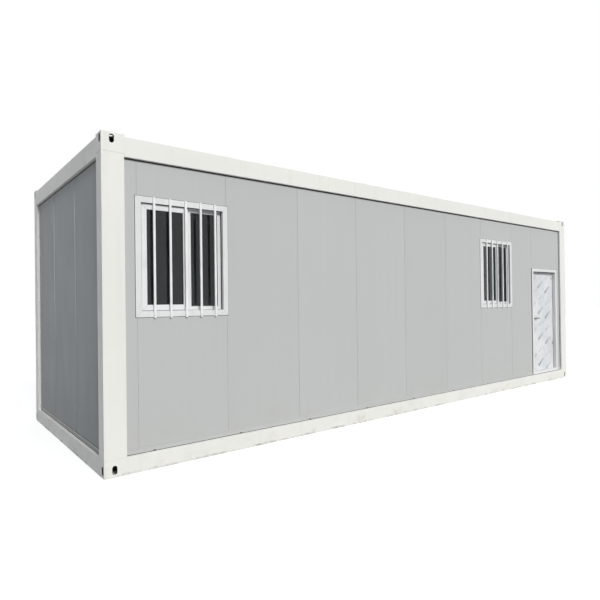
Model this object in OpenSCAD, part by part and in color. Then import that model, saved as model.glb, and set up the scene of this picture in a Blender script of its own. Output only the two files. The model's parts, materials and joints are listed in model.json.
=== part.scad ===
// Flat-pack container cabin: a bolted steel frame with sandwich-panel walls, two barred
// sliding windows and one inward door. The origin is the middle of the base, with +X along
// the length, the door side facing -Y and +Z up. Modules measure from the front left corner.

/* [Cabin] */
// Overall length
cabin_l = 8970; // [7200:10:12000]
// Overall width
cabin_w = 3000; // [2400:50:3600]
// Overall height over the corner fittings
cabin_h = 3100; // [2800:50:3600]

/* [Corner posts and fittings] */
// Post width on the long sides
post_long = 205; // [180:5:260]
// Post width on the short sides
post_short = 150; // [120:5:180]
// Post steel thickness
post_wall = 4; // [3:1:8]
// Fitting width beyond the post
fitting_step = 6; // [0:1:12]
// Height of a bottom fitting
low_fitting_h = 157; // [140:1:180]
// Height of a top fitting
top_fitting_h = 177; // [160:1:200]
// Plate thickness of a fitting
fitting_wall = 12; // [8:1:16]
// Width of a fitting's slots
slot_w = 41; // [30:1:50]
// Length of a fitting's slots
slot_len = 77; // [60:1:90]
// Slot centre from the cabin's end, on the long faces and the top
slot_from_end = 94; // [80:1:115]
// Slot centre from the cabin's side, on the short faces
slot_from_side = 45; // [40:1:60]
// Slot centre above the ground, in a bottom fitting
slot_low_z = 65; // [60:1:80]
// Slot centre below the top, in a top fitting
slot_top_z = 56; // [52:1:80]

/* [Floor] */
// Height of the floor beams
floor_beam_h = 160; // [150:2:220]
// Steel thickness of all beams
beam_wall = 4; // [3:1:8]
// Width of the flange that carries the walls
beam_flange = 130; // [120:5:170]
// Width of the floor beams' lower flange
foot_flange = 70; // [40:5:100]
// Depth of a joist
joist_h = 100; // [60:5:130]
// Width of a joist
joist_w = 60; // [40:5:80]
// Distance from joist to joist
joist_pitch = 600; // [400:50:900]
// Thickness of the floor deck
deck_t = 18; // [12:1:28]

/* [Roof] */
// Height of the roof beams
roof_beam_h = 180; // [160:2:220]
// Step from the top fittings down to the roof beams
roof_step = 24; // [0:2:40]
// Width of the rain gutter inside the roof beams
gutter_w = 100; // [80:5:115]
// Depth of the gutter's floor below the beams' top
gutter_depth = 80; // [70:5:100]
// Height of the gutter's inner edge
gutter_edge = 40; // [20:5:50]
// Rise of the roof from the gutter to the ridge
roof_rise = 20; // [0:5:30]
// Thickness of the roof sheet
sheet_t = 3; // [2:1:5]
// Height of the standing seams
seam_h = 24; // [10:2:26]
// Distance from seam to seam
seam_pitch = 470; // [300:10:700]
// Thickness of the ceiling panel
ceiling_t = 50; // [30:5:60]

/* [Walls] */
// Module width of a wall panel
panel_w = 950; // [900:10:1150]
// Thickness of a wall panel
panel_t = 75; // [50:5:80]
// Wall face behind the frame's face
wall_inset = 33; // [26:1:40]
// Joint between two panels
seam = 3; // [2:1:5]
// Narrow filler panel at the left of the front wall
filler_w = 120; // [60:5:200]
// First joint of an end wall from the front
end_first_joint = 1040; // [900:10:1080]
// Height of the trim at the foot of the walls
trim_h = 50; // [30:5:80]
// Thickness of that trim
trim_t = 3; // [2:1:5]

/* [Windows] */
// Windows' upper edge below the roof beams
win_drop = 334; // [100:2:500]
// Height of a window over its flange
win_h = 1137; // [800:1:1250]
// Flange lap onto the wall panels
win_lap = 15; // [8:1:25]
// Flange thickness, also the door frame's stand-out
flange_t = 5; // [3:1:8]
// Depth of the window frame behind the wall face
win_depth = 80; // [60:5:100]
// Visible face of the frame
win_face = 57; // [45:1:70]
// Width of a sash's rails and stiles
sash_rail = 52; // [40:1:65]
// Gap round the sliding sash
sash_gap = 7; // [4:1:10]
// Depth of the sliding sash
sash_t = 30; // [24:1:36]
// Setback of the sliding sash behind the wall face
sash_back = 10; // [6:1:16]
// Bead round the fixed light
bead = 40; // [12:1:50]
// Glass thickness
glass_t = 6; // [4:1:10]
// Number of burglar bars on a window
bar_count = 5; // [3:1:7]
// Width of a bar
bar_w = 22; // [16:1:40]
// Depth of a bar
bar_t = 16; // [8:1:20]
// First bar from the window's left edge
bar_first = 180; // [100:5:200]
// Last bar from the window's right edge
bar_last = 152; // [100:1:200]
// Length of a bar below the flange
bar_drop = 10; // [0:1:30]

/* [Door] */
// Width of the door frame
door_w = 960; // [900:10:1000]
// Height of the door frame
door_h = 1968; // [1800:2:2150]
// Recess strip between the wall and the frame's left side
door_side_gap = 25; // [15:1:60]
// Narrow panel between the frame's right side and the post
door_side_w = 105; // [60:5:200]
// Visible face of the door frame
door_face = 55; // [40:1:70]
// Depth of the frame's stop, from its front
stop_d = 55; // [40:1:60]
// Lap of the leaf behind the stop
leaf_lap = 10; // [6:1:14]
// Thickness of the leaf
leaf_t = 40; // [35:1:50]
// Clearance round the leaf
leaf_gap = 6; // [5:1:8]
// Thickness of the threshold
sill_t = 50; // [20:1:60]
// Spindle from the leaf's free edge
spindle_in = 82; // [60:1:110]
// Height of the lever above the threshold
lever_up = 990; // [850:2:1100]
// Length of a lever from the spindle's axis
lever_l = 150; // [110:2:170]
// Height of a lever
lever_h = 20; // [14:1:26]
// Thickness of a lever
lever_t = 12; // [8:1:16]
// Space between the leaf and a lever
lever_out = 40; // [34:1:42]
// Radius of the spindle
spindle_r = 9; // [6:1:12]
// Width of a lock plate
plate_w = 40; // [30:1:50]
// Height of a lock plate
plate_h = 230; // [160:5:260]
// Thickness of a lock plate and of the hinge plates
plate_t = 3; // [2:1:4]
// Radius of a hinge knuckle
knuckle_r = 9; // [7:1:12]
// Height of one half of a hinge knuckle
knuckle_h = 45; // [35:1:60]
// Radius of a hinge pin
pin_r = 5; // [3:1:6]
// Bottom hinge above the leaf's foot
hinge_low = 150; // [120:10:300]
// Top hinge below the leaf's top
hinge_top = 270; // [200:10:400]

/* [Hidden] */

steel = "#eeeeea";
wall_grey = "#c1c3c1";
white = "#f2f3f1";
run_fit = 0.06;      // radial clearance of the spindle and the hinge pins
frame_fit = 3;       // clearance of the window and door frames in the wall
panel_fit = 2;       // clearance over the wall panels
fit = 2;             // clearance of the deck and ceiling at the posts and walls
lip_h = 20;          // turned-down edge of the wall flange
rim_w = 22;          // turned-in top edge of the roof beams
purlin_w = 50;
sheet_lap = 10;      // roof sheet's lap over the gutters' inner edges
seam_w = 12;
pin_top_gap = 6;     // pin length short of the upper knuckle's top
knuckle_gap = 1;     // washer gap between a hinge's two halves
knuckle_off = 1.5;   // knuckle's clearance from the leaf and the frame
hinge_plate_w = 36;
key_r = 7;
key_down = 85;       // keyhole below the spindle

fitting_long = post_long + fitting_step;
fitting_short = post_short + fitting_step;
top_fitting_z = cabin_h - top_fitting_h;
wall_z0 = floor_beam_h;
roof_z = cabin_h - roof_step;
wall_z1 = roof_z - roof_beam_h;
gutter_z = roof_z - gutter_depth;
gutter_top = gutter_z + gutter_edge;
wall_in = wall_inset + panel_t;
deck_top = wall_z0 + deck_t;
ceiling_z = wall_z1 + beam_wall;

// Front wall: a filler, whole panels, one cut panel, then the door bay
row_x = post_long + filler_w;
bay_x = cabin_l - post_long - door_side_w - door_w - door_side_gap;
whole = floor((bay_x - row_x) / panel_w);
front_joints = concat([for (i = [0:whole]) row_x + i * panel_w], [bay_x]);
left_bay = 0;
right_bay = whole - 1;

// Back wall: the same joints, seen plain
back_whole = floor((cabin_l - post_long - row_x) / panel_w);
back_joints = concat(
    [post_long], [for (i = [0:back_whole]) row_x + i * panel_w], [cabin_l - post_long]);

// End walls
end_rest = cabin_w - post_short - end_first_joint;
end_joints = concat(
    [post_short],
    [for (i = [0:ceil(end_rest / panel_w) - 1]) end_first_joint + i * panel_w],
    [cabin_w - post_short]);

// Windows
win_w = panel_w + 2 * win_lap;
win_z = wall_z1 - win_drop - win_h;
win_hole_h = win_h - 2 * win_lap;
sash_w = win_w / 2 - win_face - sash_gap + sash_rail - 5;
mullion_x = win_w / 2;
glass_back = 12;     // glass behind the front face of its sash or bead
fixed_y = wall_inset + sash_back + sash_t + 4;

// Door
door_x = bay_x + door_side_gap;
door_z1 = wall_z0 + door_h;
door_y = wall_inset - flange_t;
leaf_y = door_y + stop_d + leaf_gap;
leaf_x0 = door_x + door_face - leaf_lap;
leaf_x1 = door_x + door_w - door_face + leaf_lap;
leaf_z0 = wall_z0 + sill_t + leaf_gap;
leaf_z1 = door_z1 - door_face + leaf_lap;
door_back = leaf_y + leaf_t;
hinge_x = leaf_x1 + leaf_gap / 2;
hinge_y = door_back + knuckle_r + knuckle_off;
spindle_x = leaf_x0 + spindle_in;
spindle_z = wall_z0 + sill_t + lever_up;
hinge_z0 = leaf_z0 + hinge_low;
hinge_z1 = leaf_z1 - hinge_top;

// ---- Placing ----

module place() translate([-cabin_l / 2, -cabin_w / 2, 0]) children();

// Turns a front piece into the matching back piece, or a left piece into a right one
module to_back() translate([0, cabin_w, 0]) mirror([0, 1, 0]) children();
module to_right() translate([cabin_l, 0, 0]) mirror([1, 0, 0]) children();

module four_corners() {
    children();
    to_back() children();
    to_right() children();
    to_right() to_back() children();
}

// Extrudes a profile along X or along Y; its own X points into the cabin
module along_x(x0, x1) translate([x0, 0, 0]) rotate([90, 0, 90]) linear_extrude(x1 - x0) children();
module along_y(y0, y1) translate([0, y1, 0]) rotate([90, 0, 0]) linear_extrude(y1 - y0) children();

module block(x0, y0, z0, x1, y1, z1) translate([x0, y0, z0]) cube([x1 - x0, y1 - y0, z1 - z0]);

// Cuts what stands at the posts back to a clearance from the fittings
module clear_of_fittings() difference() {
    children();
    four_corners() {
        block(0, 0, 0, fitting_long + fit, fitting_short + fit, low_fitting_h + fit);
        block(0, 0, top_fitting_z - fit, fitting_long + fit, fitting_short + fit, cabin_h);
    }
}

// ---- Steel frame ----

module slot_shape() {
    straight = slot_len - slot_w;
    translate([-slot_w / 2, -straight / 2]) square([slot_w, straight]);
    for (end = [-1, 1]) translate([0, end * straight / 2]) circle(d = slot_w, $fn = 48);
}

// One hollow fitting, with a slot in its long face, its short face and its free end
module fitting(z0, z1, slot_z, end_z) {
    difference() {
        block(0, 0, z0, fitting_long, fitting_short, z1);
        block(fitting_wall, fitting_wall, z0 + fitting_wall,
            fitting_long - fitting_wall, fitting_short - fitting_wall, z1 - fitting_wall);
        translate([slot_from_end, fitting_wall + 1, slot_z]) rotate([90, 0, 0])
            linear_extrude(fitting_wall + 2) slot_shape();
        translate([-1, slot_from_side, slot_z]) rotate([90, 0, 90])
            linear_extrude(fitting_wall + 2) slot_shape();
        translate([slot_from_end, fitting_short / 2, end_z]) rotate([0, 0, 90])
            linear_extrude(fitting_wall + 2) slot_shape();
    }
}

module bottom_corner_fittings() color(steel) place() four_corners()
    fitting(0, low_fitting_h, slot_low_z, -1);

module top_corner_fittings() color(steel) place() four_corners()
    fitting(top_fitting_z, cabin_h, cabin_h - slot_top_z, cabin_h - fitting_wall - 1);

module post() difference() {
    block(0, 0, low_fitting_h, post_long, post_short, top_fitting_z);
    block(post_wall, post_wall, low_fitting_h - 1,
        post_long - post_wall, post_short - post_wall, top_fitting_z + 1);
}

module corner_post_front_left() color(steel) place() post();
module corner_post_front_right() color(steel) place() to_right() post();
module corner_post_back_left() color(steel) place() to_back() post();
module corner_post_back_right() color(steel) place() to_right() to_back() post();

module floor_beam_profile() {
    square([beam_wall, floor_beam_h]);
    square([foot_flange, beam_wall]);
    translate([0, floor_beam_h - beam_wall]) square([beam_flange, beam_wall]);
    translate([beam_flange - beam_wall, floor_beam_h - lip_h]) square([beam_wall, lip_h]);
}

// Web, wall flange and rim, with the rain gutter rolled into the inner side
module roof_beam_profile() {
    translate([0, wall_z1]) square([beam_wall, roof_beam_h]);
    translate([0, wall_z1]) square([beam_flange, beam_wall]);
    translate([0, roof_z - beam_wall]) square([rim_w, beam_wall]);
    translate([0, gutter_z]) square([gutter_w, beam_wall]);
    translate([gutter_w - beam_wall, gutter_z]) square([beam_wall, gutter_edge]);
}

module long_span() along_x(fitting_long, cabin_l - fitting_long) children();
module short_span() along_y(fitting_short, cabin_w - fitting_short) children();

module floor_beam_front() color(steel) place() long_span() floor_beam_profile();
module floor_beam_back() color(steel) place() to_back() long_span() floor_beam_profile();
module floor_beam_left() color(steel) place() short_span() floor_beam_profile();
module floor_beam_right() color(steel) place() to_right() short_span() floor_beam_profile();
module roof_beam_front() color(steel) place() long_span() roof_beam_profile();
module roof_beam_back() color(steel) place() to_back() long_span() roof_beam_profile();
module roof_beam_left() color(steel) place() short_span() roof_beam_profile();
module roof_beam_right() color(steel) place() to_right() short_span() roof_beam_profile();

// ---- Floor ----

module joist_profile() difference() {
    square([joist_w, joist_h]);
    translate([beam_wall, beam_wall]) square([joist_w - 2 * beam_wall, joist_h - 2 * beam_wall]);
}

module floor_joists() color(steel) place() {
    count = floor((cabin_l - 2 * beam_flange - 2 * joist_w) / joist_pitch);
    first = (cabin_l - count * joist_pitch) / 2;
    for (i = [0:count]) translate([first + i * joist_pitch - joist_w / 2, 0, wall_z0 - joist_h])
        along_y(beam_flange, cabin_w - beam_flange) joist_profile();
}

module floor_deck() color("#8d8a84") place() clear_of_fittings() difference() {
    edge = wall_in + fit;
    block(edge, edge, wall_z0, cabin_l - edge, cabin_w - edge, deck_top);
    four_corners() block(0, 0, wall_z0 - 1, post_long + fit, post_short + fit, deck_top + 1);
    block(bay_x, 0, wall_z0 - 1, cabin_l - post_long, door_back + fit, deck_top + 1);
}

// ---- Roof and ceiling ----

module purlin_profile() {
    z0 = ceiling_z + ceiling_t + 6;
    polygon([[gutter_w, z0], [cabin_w - gutter_w, z0], [cabin_w - gutter_w, gutter_top],
        [cabin_w / 2, gutter_top + roof_rise], [gutter_w, gutter_top]]);
}

// Purlins evenly from fitting to fitting, no further apart than a wall panel's width
module roof_purlins() color(steel) place() {
    first = fitting_long + fit;
    span = cabin_l - 2 * first - purlin_w;
    count = ceil(span / panel_w);
    for (i = [0:count]) {
        x = first + i * span / count;
        along_x(x, x + purlin_w) purlin_profile();
    }
}

// Cambered sheet over the gutters' inner edges, with its standing seams
module roof_profile() {
    edge = gutter_w - sheet_lap;
    mid = cabin_w / 2;
    top = gutter_top + roof_rise;
    slope = roof_rise / (mid - gutter_w);
    polygon([[edge, gutter_top], [gutter_w, gutter_top], [mid, top],
        [cabin_w - gutter_w, gutter_top], [cabin_w - edge, gutter_top],
        [cabin_w - edge, gutter_top + sheet_t], [cabin_w - gutter_w, gutter_top + sheet_t],
        [mid, top + sheet_t], [gutter_w, gutter_top + sheet_t], [edge, gutter_top + sheet_t]]);
    steps = floor((mid - gutter_w - seam_w) / seam_pitch);
    for (i = [-steps:steps]) {
        foot = top - abs(i) * seam_pitch * slope + sheet_t / 2;
        translate([mid + i * seam_pitch - seam_w / 2, foot]) square([seam_w, sheet_t / 2 + seam_h]);
    }
}

module roof_sheet() color("#dfe2e2") place() difference() {
    along_x(gutter_w - sheet_lap, cabin_l - gutter_w + sheet_lap) roof_profile();
    four_corners() block(0, 0, gutter_top - 1, fitting_long + fit, fitting_short + fit, cabin_h);
}

module ceiling_panel() color(white) place() difference() {
    edge = beam_flange / 2;
    block(edge, edge, ceiling_z, cabin_l - edge, cabin_w - edge, ceiling_z + ceiling_t);
    four_corners() block(0, 0, ceiling_z - 1,
        fitting_long + fit, fitting_short + fit, ceiling_z + ceiling_t + 1);
}

// ---- Walls ----

// A panel of the front wall between two joints
module front_panel(x0, x1, z0 = wall_z0, z1 = wall_z1 - panel_fit)
    block(x0 + seam / 2, wall_inset, z0, x1 - seam / 2, wall_in, z1);

module front_wall_panels() color(wall_grey) place() clear_of_fittings() {
    front_panel(post_long, row_x);
    for (i = [0:len(front_joints) - 2]) if (i != left_bay && i != right_bay)
        front_panel(front_joints[i], front_joints[i + 1]);
}

// The low and high panels that close a window's bay
module window_infill(bay) {
    x0 = front_joints[bay];
    front_panel(x0, x0 + panel_w, z1 = win_z + win_lap);
    front_panel(x0, x0 + panel_w, z0 = win_z + win_h - win_lap);
}

module left_window_infill() color(wall_grey) place() window_infill(left_bay);
module right_window_infill() color(wall_grey) place() window_infill(right_bay);

module door_header_panel() color(wall_grey) place() clear_of_fittings()
    front_panel(bay_x, cabin_l - post_long, z0 = door_z1 + frame_fit);

module door_side_panel() color(wall_grey) place() clear_of_fittings()
    front_panel(door_x + door_w, cabin_l - post_long, z1 = door_z1);

module back_wall_panels() color(wall_grey) place() clear_of_fittings() to_back()
    for (i = [0:len(back_joints) - 2]) front_panel(back_joints[i], back_joints[i + 1]);

module end_wall() clear_of_fittings()
    for (i = [0:len(end_joints) - 2])
        block(wall_inset, end_joints[i] + seam / 2, wall_z0,
            wall_in, end_joints[i + 1] - seam / 2, wall_z1 - panel_fit);

module left_wall_panels() color(wall_grey) place() end_wall();
module right_wall_panels() color(wall_grey) place() to_right() end_wall();

module front_trim(x0, x1)
    block(x0, wall_inset - trim_t, wall_z0, x1, wall_inset, wall_z0 + trim_h);

module front_base_trim() color(wall_grey) place() clear_of_fittings() {
    front_trim(post_long, bay_x);
    front_trim(door_x + door_w, cabin_l - post_long);
}

module back_base_trim() color(wall_grey) place() clear_of_fittings() to_back()
    front_trim(post_long, cabin_l - post_long);

module end_trim() clear_of_fittings() block(wall_inset - trim_t, post_short, wall_z0,
    wall_inset, cabin_w - post_short, wall_z0 + trim_h);

module end_base_trims() color(wall_grey) place() {
    end_trim();
    to_right() end_trim();
}

// ---- Windows, measured from the lower left corner of the flange ----

module at_window(bay) place() translate([front_joints[bay] - win_lap, 0, win_z]) children();

module window_frame() difference() {
    edge = win_lap + frame_fit;
    y1 = wall_inset + win_depth;
    union() {
        block(0, wall_inset - flange_t, 0, win_w, wall_inset, win_h);
        block(edge, wall_inset, edge, win_w - edge, y1, win_h - edge);
    }
    // sliding side, right through; fixed side, from the front back to its bead
    block(win_face, 0, win_face, mullion_x, y1 + 1, win_h - win_face);
    block(win_face, 0, win_face, win_w - win_face, fixed_y, win_h - win_face);
    block(mullion_x + sash_rail + bead, 0, win_face + bead,
        win_w - win_face - bead, y1 + 1, win_h - win_face - bead);
}

module window_sash() difference() {
    x0 = win_face + sash_gap;
    y0 = wall_inset + sash_back;
    block(x0, y0, x0, x0 + sash_w, y0 + sash_t, win_h - x0);
    block(x0 + sash_rail, y0 - 1, x0 + sash_rail,
        x0 + sash_w - sash_rail, y0 + sash_t + 1, win_h - x0 - sash_rail);
}

module window_glass() {
    x0 = win_face + sash_gap + sash_rail;
    y0 = wall_inset + sash_back + glass_back;
    y1 = fixed_y + glass_back;
    block(x0, y0, x0, x0 + sash_w - 2 * sash_rail, y0 + glass_t, win_h - x0);
    block(mullion_x + sash_rail + bead, y1, win_face + bead,
        win_w - win_face - bead, y1 + glass_t, win_h - win_face - bead);
}

module window_bars() {
    pitch = (win_w - bar_first - bar_last) / (bar_count - 1);
    y1 = wall_inset - flange_t;
    for (i = [0:bar_count - 1]) {
        x = bar_first + i * pitch;
        block(x - bar_w / 2, y1 - bar_t, -bar_drop, x + bar_w / 2, y1, win_h);
    }
}

module left_window_frame() color(white) at_window(left_bay) window_frame();
module left_window_sash() color(white) at_window(left_bay) window_sash();
module left_window_glass() color("#3c4648") at_window(left_bay) window_glass();
module left_window_bars() color(white) at_window(left_bay) window_bars();
module right_window_frame() color(white) at_window(right_bay) window_frame();
module right_window_sash() color(white) at_window(right_bay) window_sash();
module right_window_glass() color("#3c4648") at_window(right_bay) window_glass();
module right_window_bars() color(white) at_window(right_bay) window_bars();

// ---- Door ----

module door_frame() color(white) place() difference() {
    x1 = door_x + door_w;
    union() {
        block(door_x, door_y, wall_z0, x1, door_back, door_z1);
        // recessed strip that closes the joint with the wall
        block(bay_x + seam / 2, wall_inset + 15, wall_z0, door_x + 1, wall_in, door_z1);
    }
    block(door_x + door_face, 0, 0, x1 - door_face, door_back + 1, door_z1 - door_face);
    block(leaf_x0 - leaf_gap, door_y + stop_d, 0,
        leaf_x1 + leaf_gap, door_back + 1, leaf_z1 + leaf_gap);
}

module door_threshold() color("#b9bbb9") place() {
    x0 = leaf_x0 - leaf_gap;
    x1 = leaf_x1 + leaf_gap;
    block(door_x + door_face, door_y, wall_z0,
        door_x + door_w - door_face, door_y + stop_d, wall_z0 + sill_t);
    block(x0, door_y + stop_d, wall_z0, x1, door_back, wall_z0 + sill_t);
}

// A hole along Y, from the leaf's front to its back and beyond
module through_leaf(x, z, r) translate([x, leaf_y + leaf_t + 20, z]) rotate([90, 0, 0])
    cylinder(r = r, h = leaf_t + 40, $fn = 48);

module lock_holes(fit_r) {
    through_leaf(spindle_x, spindle_z, fit_r);
    through_leaf(spindle_x, spindle_z - key_down, key_r);
}

module door_leaf() color(white) place() difference() {
    block(leaf_x0, leaf_y, leaf_z0, leaf_x1, door_back, leaf_z1);
    lock_holes(spindle_r + run_fit);
}

module lock_plate(y0) block(spindle_x - plate_w / 2, y0, spindle_z - plate_h * 0.6,
    spindle_x + plate_w / 2, y0 + plate_t, spindle_z + plate_h * 0.4);

module door_lock_plates() color("#d8dada") place() difference() {
    union() {
        lock_plate(leaf_y - plate_t);
        lock_plate(door_back);
    }
    lock_holes(spindle_r + run_fit);
}

// A lever with round ends, lying along X in front of or behind the leaf
module lever(y0) translate([spindle_x, y0 + lever_t, spindle_z]) rotate([90, 0, 0])
    linear_extrude(lever_t) {
        circle(d = lever_h, $fn = 48);
        translate([0, -lever_h / 2]) square([lever_l, lever_h]);
        translate([lever_l, 0]) circle(d = lever_h, $fn = 48);
    }

module door_handle() color("#e8e9ea") place() {
    y0 = leaf_y - lever_out - lever_t;
    y1 = door_back + lever_out + lever_t;
    translate([spindle_x, y1, spindle_z]) rotate([90, 0, 0])
        cylinder(r = spindle_r, h = y1 - y0, $fn = 48);
    lever(y0);
    lever(y1 - lever_t);
}

// Lift-off hinges: the lower half and its pin on the frame, the upper half on the leaf
module at_hinges() for (z = [hinge_z0, (hinge_z0 + hinge_z1) / 2, hinge_z1])
    translate([hinge_x, hinge_y, z]) children();

module door_hinge_pins() color(steel) place() at_hinges() {
    cylinder(r = knuckle_r, h = knuckle_h, $fn = 48);
    cylinder(r = pin_r, h = 2 * knuckle_h - pin_top_gap, $fn = 48);
    translate([0, door_back - hinge_y, 0]) cube([hinge_plate_w, plate_t, knuckle_h]);
}

module door_hinge_knuckles() color(white) place() at_hinges()
    translate([0, 0, knuckle_h + knuckle_gap]) difference() {
        union() {
            cylinder(r = knuckle_r, h = knuckle_h, $fn = 48);
            translate([-hinge_plate_w, door_back - hinge_y, 0])
                cube([hinge_plate_w, plate_t, knuckle_h]);
        }
        translate([0, 0, -1]) cylinder(r = pin_r + run_fit, h = knuckle_h + 2, $fn = 48);
    }

// ---- Nodes ----

bottom_corner_fittings();
top_corner_fittings();
corner_post_front_left();
corner_post_front_right();
corner_post_back_left();
corner_post_back_right();
floor_beam_front();
floor_beam_back();
floor_beam_left();
floor_beam_right();
floor_joists();
floor_deck();
roof_beam_front();
roof_beam_back();
roof_beam_left();
roof_beam_right();
roof_purlins();
roof_sheet();
ceiling_panel();
front_wall_panels();
left_window_infill();
right_window_infill();
door_header_panel();
door_side_panel();
back_wall_panels();
left_wall_panels();
right_wall_panels();
front_base_trim();
back_base_trim();
end_base_trims();
left_window_frame();
left_window_sash();
left_window_glass();
left_window_bars();
right_window_frame();
right_window_sash();
right_window_glass();
right_window_bars();
door_frame();
door_threshold();
door_leaf();
door_hinge_pins();
door_hinge_knuckles();
door_lock_plates();
door_handle();
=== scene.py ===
"""Looks of the flat-pack container cabin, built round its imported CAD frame, in metres."""

import json
import math

import bmesh
import bpy
from mathutils import Matrix, Vector


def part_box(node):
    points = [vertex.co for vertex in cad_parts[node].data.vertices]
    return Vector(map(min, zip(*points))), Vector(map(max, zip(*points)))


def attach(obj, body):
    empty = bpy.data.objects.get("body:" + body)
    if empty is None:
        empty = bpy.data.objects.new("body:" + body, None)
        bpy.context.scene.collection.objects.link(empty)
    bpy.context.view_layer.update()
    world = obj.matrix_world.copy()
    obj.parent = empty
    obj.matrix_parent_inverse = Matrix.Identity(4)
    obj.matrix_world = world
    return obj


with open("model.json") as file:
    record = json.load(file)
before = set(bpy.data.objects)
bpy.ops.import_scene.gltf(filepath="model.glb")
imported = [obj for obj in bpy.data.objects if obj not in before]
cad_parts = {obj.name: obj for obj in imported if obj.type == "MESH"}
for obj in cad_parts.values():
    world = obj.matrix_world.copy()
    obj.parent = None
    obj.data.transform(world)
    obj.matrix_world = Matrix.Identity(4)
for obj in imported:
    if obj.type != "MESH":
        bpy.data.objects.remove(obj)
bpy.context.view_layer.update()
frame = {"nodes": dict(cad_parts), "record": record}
nodes = frame["nodes"]

MM = 0.001
MODULE = 0.95  # width of a wall panel with its joint
MODULE_START = -4.16  # first joint of the long walls, in X
END_MODULE_START = -0.46  # where the end walls' shades change, in Y
TRIM_LENGTH = 3.0  # of the trim at the walls' foot, between two of its shades
ROOM_REACH = (4.395, 1.395)  # nearer to the middle than this a wall panel is painted as the room
CORNERS = [(sx, sy) for sx in (-1, 1) for sy in (-1, 1)]


# ---- Nodes of a material ----


class Shade:
    """Builds one procedural material on a Principled shader, in the row frame's coordinates."""

    def __init__(self, name, **sockets):
        self.material = bpy.data.materials.new(name)
        self.material.use_nodes = True
        self.tree = self.material.node_tree
        self.tree.nodes.clear()
        output = self.node("ShaderNodeOutputMaterial")
        self.shader = self.node("ShaderNodeBsdfPrincipled")
        self.tree.links.new(self.shader.outputs[0], output.inputs[0])
        self.coord = self.node("ShaderNodeTexCoord").outputs["Object"]
        split = self.node("ShaderNodeSeparateXYZ")
        self.put(split.inputs[0], self.coord)
        self.x, self.y, self.z = split.outputs
        for socket, value in sockets.items():
            self.set(socket.replace("_", " "), value)

    def node(self, kind, **settings):
        made = self.tree.nodes.new(kind)
        for key, value in settings.items():
            setattr(made, key, value)
        return made

    def put(self, socket, value):
        if isinstance(value, bpy.types.NodeSocket):
            self.tree.links.new(value, socket)
        elif isinstance(value, tuple) and len(value) == 3 and socket.type == "RGBA":
            socket.default_value = (*value, 1.0)
        else:
            socket.default_value = value

    def set(self, socket, value):
        self.put(self.shader.inputs[socket], value)

    def math(self, operation, a, b=0.0):
        made = self.node("ShaderNodeMath", operation=operation)
        self.put(made.inputs[0], a)
        self.put(made.inputs[1], b)
        return made.outputs[0]

    def stretched(self, scale):
        made = self.node("ShaderNodeMapping")
        self.put(made.inputs["Vector"], self.coord)
        self.put(made.inputs["Scale"], scale)
        return made.outputs[0]

    def noise(self, scale, detail=3.0, rough=0.55, stretch=(1.0, 1.0, 1.0), warp=0.0):
        made = self.node("ShaderNodeTexNoise")
        self.put(made.inputs["Vector"], self.stretched(stretch))
        self.put(made.inputs["Scale"], scale)
        self.put(made.inputs["Detail"], detail)
        self.put(made.inputs["Roughness"], rough)
        self.put(made.inputs["Distortion"], warp)
        return made.outputs["Fac"]

    def cells(self, scale):
        made = self.node("ShaderNodeTexVoronoi")
        self.put(made.inputs["Vector"], self.coord)
        self.put(made.inputs["Scale"], scale)
        return made.outputs["Distance"]

    def ramp(self, value, x0, x1, y0=0.0, y1=1.0):
        made = self.node("ShaderNodeMapRange", interpolation_type="SMOOTHSTEP")
        for socket, setting in zip(made.inputs, (value, x0, x1, y0, y1)):
            self.put(socket, setting)
        return made.outputs[0]

    def mix(self, factor, a, b):
        made = self.node("ShaderNodeMix", data_type="RGBA")
        self.put(made.inputs[0], factor)
        self.put(made.inputs[6], a)
        self.put(made.inputs[7], b)
        return made.outputs[2]

    def times(self, *factors):
        product = factors[0]
        for factor in factors[1:]:
            product = self.math("MULTIPLY", product, factor)
        return product

    def bump(self, height, strength, distance=MM):
        made = self.node("ShaderNodeBump")
        self.put(made.inputs["Height"], height)
        self.put(made.inputs["Strength"], strength)
        self.put(made.inputs["Distance"], distance)
        self.set("Normal", made.outputs[0])

    def per_module(self, coordinate, start, pitch):
        """A number from 0 to 1 that is the same all over one wall module."""
        made = self.node("ShaderNodeTexWhiteNoise", noise_dimensions="1D")
        along = self.math("DIVIDE", self.math("SUBTRACT", coordinate, start), pitch)
        self.put(made.inputs["W"], self.math("FLOOR", along))
        return made.outputs["Value"]


def srgb(red, green, blue):
    """Linear colour of an sRGB colour given from 0 to 255."""
    return tuple(
        v / 12.92 if v <= 0.04045 else ((v + 0.055) / 1.055) ** 2.4
        for v in (red / 255, green / 255, blue / 255)
    )


def shaded(colour, factor):
    return tuple(v * factor for v in colour)


# ---- Materials ----

OFF_WHITE = srgb(240, 240, 235)
WALL_GREY = srgb(195, 197, 197)
# The end walls' grey is the wall grey made darker and bluer: painted shade of walls that face away
# from the key light
SHADED_END_GREY = srgb(189, 193, 195)
PVC_WHITE = srgb(229, 230, 231)
EARTH = srgb(150, 128, 92)
SOOT = srgb(84, 76, 64)
RUST = srgb(120, 66, 34)
DUST = srgb(190, 184, 170)
ROOM_WHITE = srgb(228, 230, 228)


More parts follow.
